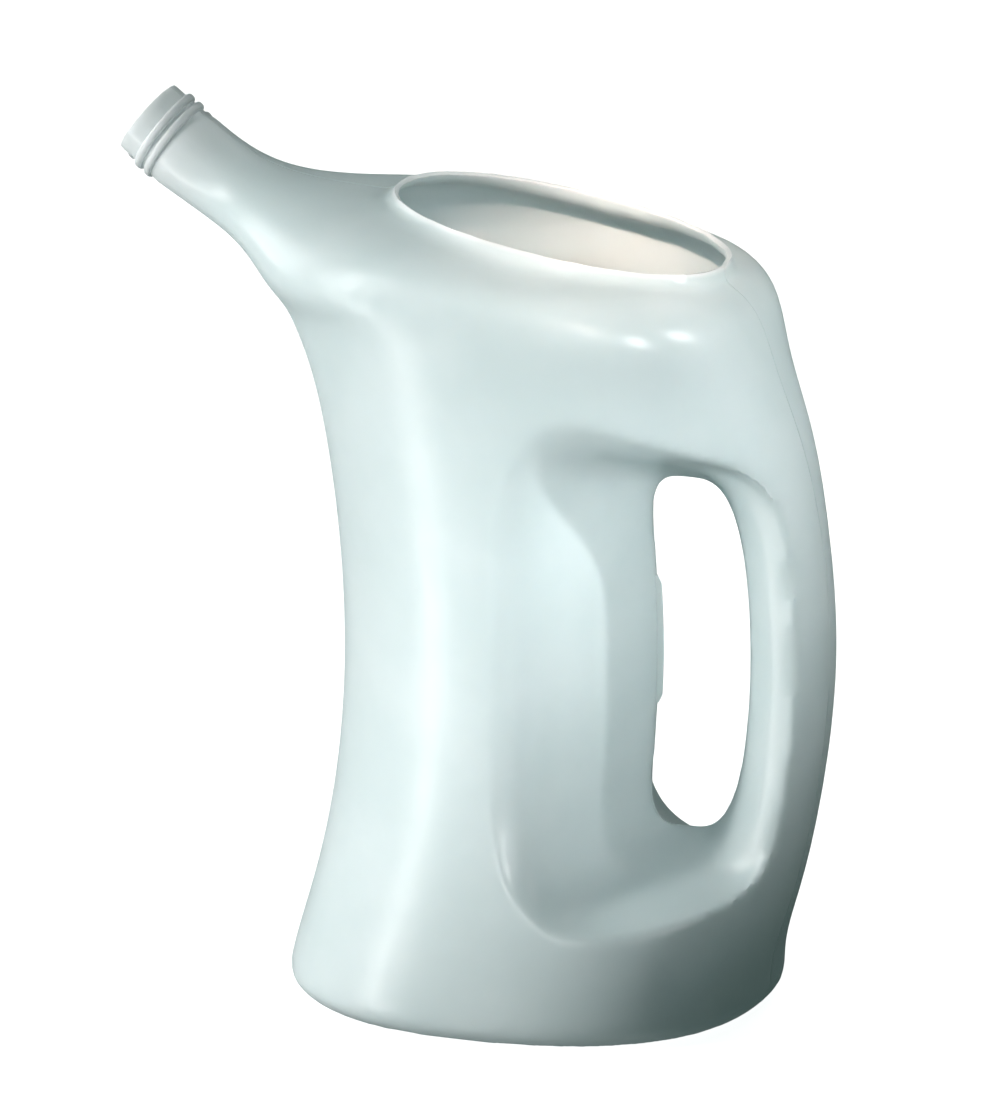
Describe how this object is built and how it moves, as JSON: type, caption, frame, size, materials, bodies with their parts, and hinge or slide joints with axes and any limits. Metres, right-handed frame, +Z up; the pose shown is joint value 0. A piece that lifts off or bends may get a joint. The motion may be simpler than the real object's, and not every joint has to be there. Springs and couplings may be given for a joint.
{
  "type": "watering can",
  "caption": "Hollow one-wall watering can with an oval base, a wide oval filler mouth, a built-in hand hole and grip, and a short threaded spout neck.",
  "frame": {"origin": "on the plane the can stands on, in the middle of the outer box", "axes": "+Z up, -X along the spout, +X towards the grip, Y = 0 is the mould's parting plane"},
  "size_m": [0.1952, 0.1126, 0.2342],
  "materials": {
    "hdpe": "satin, slightly translucent blow-moulded polyethylene"
  },
  "bodies": {
    "root": {"base_pan": "hdpe", "tank_wall": "hdpe", "grip": "hdpe", "shoulder": "hdpe", "filler_collar": "hdpe", "spout": "hdpe", "spout_neck": "hdpe", "neck_thread": "hdpe"}
  },
  "joints": []
}
